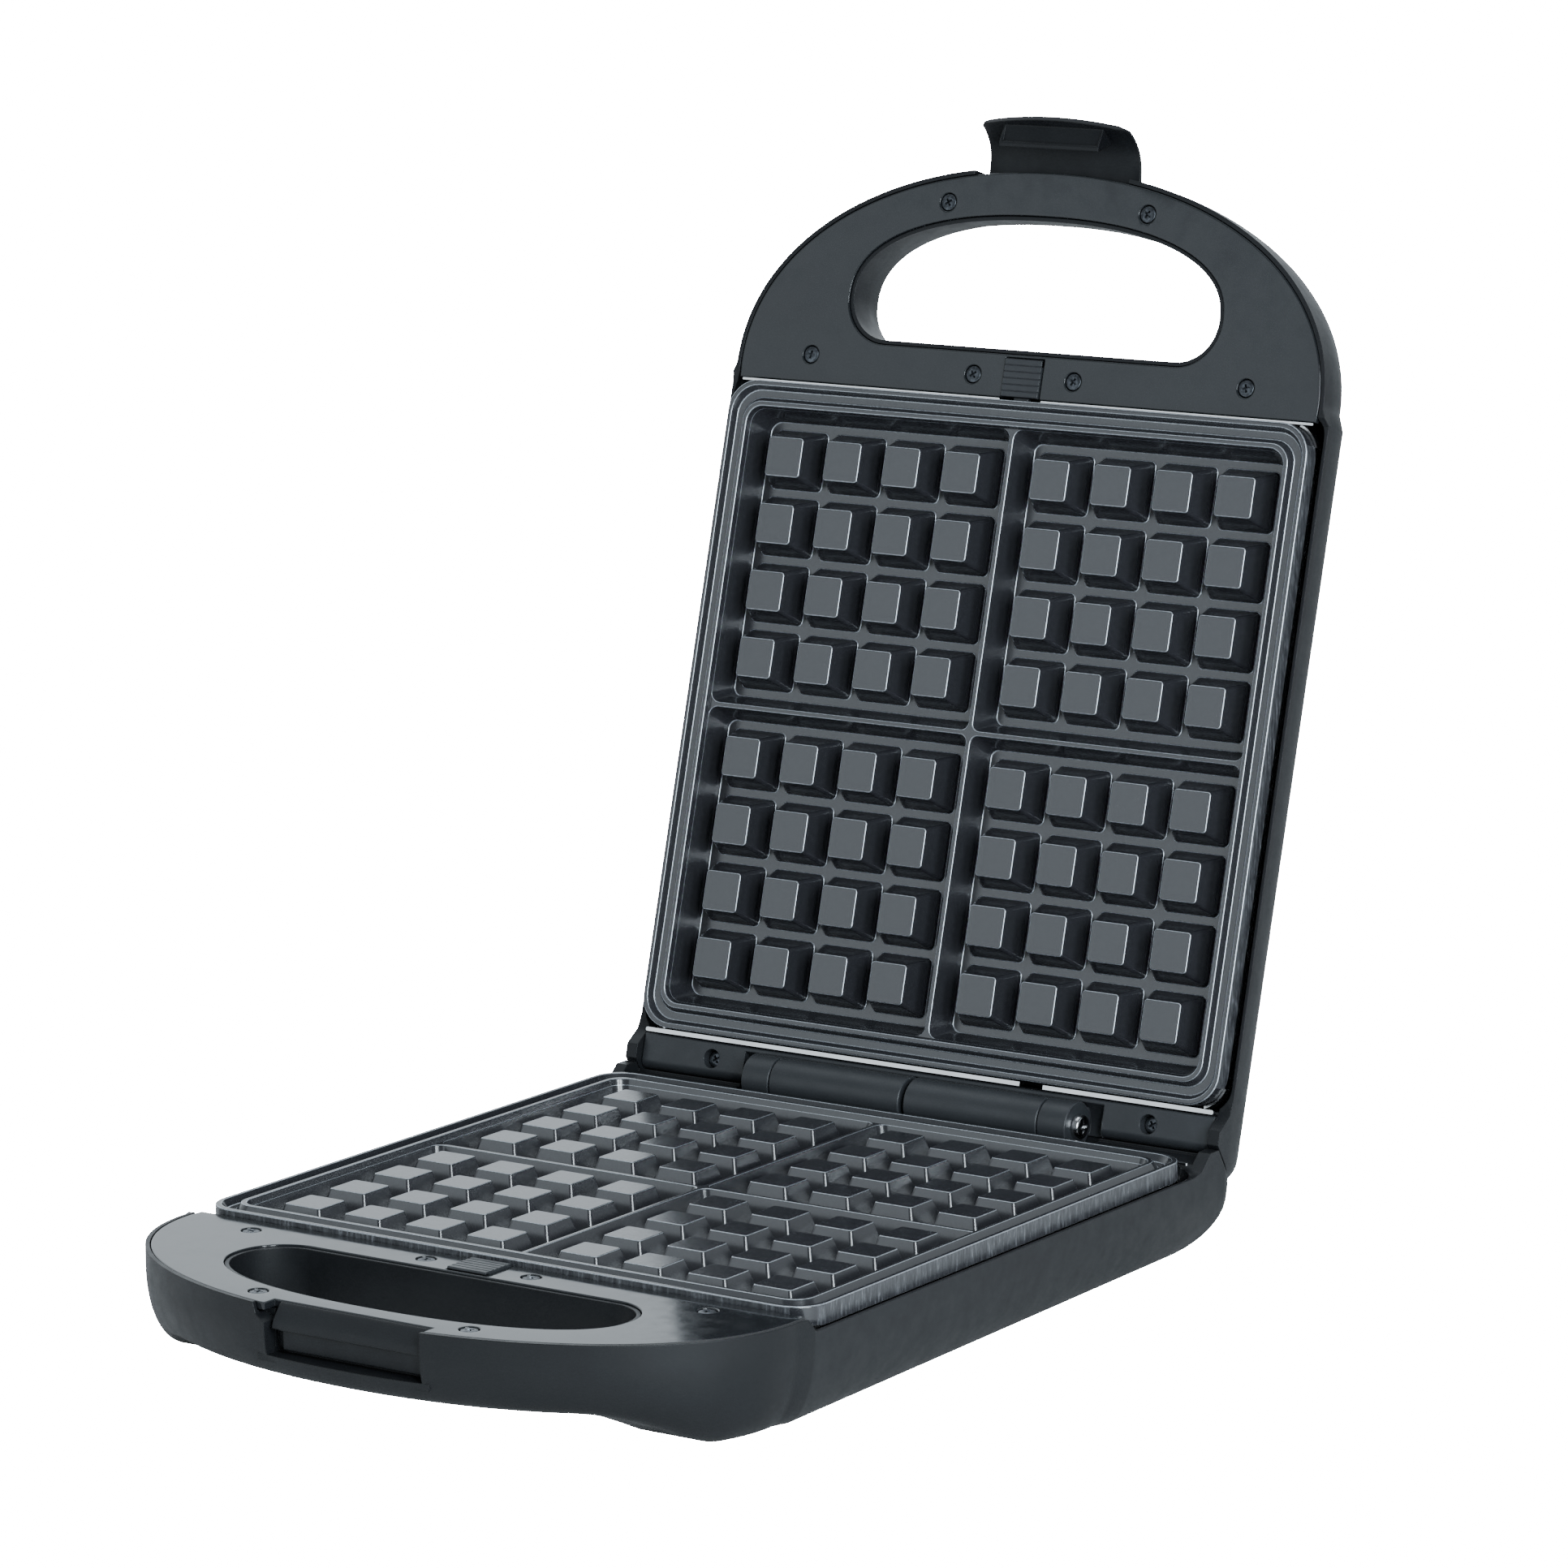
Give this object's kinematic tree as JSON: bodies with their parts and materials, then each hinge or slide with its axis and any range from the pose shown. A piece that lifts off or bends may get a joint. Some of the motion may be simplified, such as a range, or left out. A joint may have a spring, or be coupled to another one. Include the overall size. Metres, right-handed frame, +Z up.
{
  "type": "waffle maker",
  "caption": "Square waffle maker standing open, with grid plates, loop handles on base and lid, a flip-over latch and a barrel hinge.",
  "frame": {"origin": "middle of the footprint of the open appliance, on the surface that its rubber feet stand on", "axes": "+Z up, +Y towards the hinge and the rear, -Y towards the base's handle, +X to the right of someone at the handle"},
  "size_m": [0.2476, 0.4412, 0.3806],
  "materials": {
    "black_plastic": "fine satin, moulded",
    "cover_plastic": "smooth satin, moulded",
    "nonstick_coating": "dark speckled non-stick coating on cast aluminium",
    "bright_steel": "polished sheet steel",
    "screw_steel": "blackened steel",
    "element_steel": "oxidised steel tube",
    "rubber": "matte",
    "ceramic": "unglazed ceramic",
    "red_lens": "clear tinted",
    "green_lens": "clear tinted"
  },
  "bodies": {
    "base": {"base_casing": "black_plastic", "base_handle_cover": "cover_plastic", "base_waffle_plate": "nonstick_coating", "base_reflector_tray": "bright_steel", "base_heating_element": "element_steel", "base_thermostat": "ceramic", "terminal_block": "ceramic", "cord_gland": "rubber", "foot_1": "rubber", "foot_2": "rubber", "foot_3": "rubber", "foot_4": "rubber", "base_hinge_barrel_left": "black_plastic", "base_hinge_barrel_right": "black_plastic", "base_release_spring": "screw_steel", "base_handle_screw_1": "screw_steel", "base_handle_screw_2": "screw_steel", "base_handle_screw_3": "screw_steel", "base_handle_screw_4": "screw_steel", "base_handle_screw_5": "screw_steel", "base_handle_screw_6": "screw_steel"},
    "lid": {"lid_casing": "black_plastic", "lid_handle_cover": "cover_plastic", "lid_waffle_plate": "nonstick_coating", "lid_reflector_tray": "bright_steel", "lid_heating_element": "element_steel", "lid_thermal_fuse": "ceramic", "lid_hinge_cover": "black_plastic", "lid_hinge_cover_screw_left": "screw_steel", "lid_hinge_cover_screw_right": "screw_steel", "hinge_pin_left": "bright_steel", "hinge_pin_right": "bright_steel", "latch_pin": "bright_steel", "power_lens": "red_lens", "ready_lens": "green_lens", "lid_release_spring": "screw_steel", "lid_handle_screw_1": "screw_steel", "lid_handle_screw_2": "screw_steel", "lid_handle_screw_3": "screw_steel", "lid_handle_screw_4": "screw_steel", "lid_handle_screw_5": "screw_steel", "lid_handle_screw_6": "screw_steel"},
    "latch": {"latch_clip": "cover_plastic"},
    "base_slide": {"base_release_slide": "black_plastic"},
    "lid_slide": {"lid_release_slide": "black_plastic"}
  },
  "joints": [
    {"name": "lid_hinge", "type": "hinge", "parent": "base", "child": "lid", "pos_m": [0, 0.112, 0.0411], "axis": [1, 0, 0], "range_deg": [0, 104.93]},
    {"name": "latch_pivot", "type": "hinge", "parent": "lid", "child": "latch", "pos_m": [0, 0.20979, 0.35583], "axis": [1, 0, 0], "range_deg": [0, 42.9]},
    {"name": "base_release", "type": "slide", "parent": "base", "child": "base_slide", "axis": [0, -1, 0], "range_m": [0, 0.0025], "stiffness_N_per_m": 500, "springref_m": -0.002, "deforming": ["base_release_spring"]},
    {"name": "lid_release", "type": "slide", "parent": "lid", "child": "lid_slide", "axis": [0, 0.2576, 0.9662], "range_m": [0, 0.0025], "stiffness_N_per_m": 500, "springref_m": -0.002, "deforming": ["lid_release_spring"]}
  ]
}
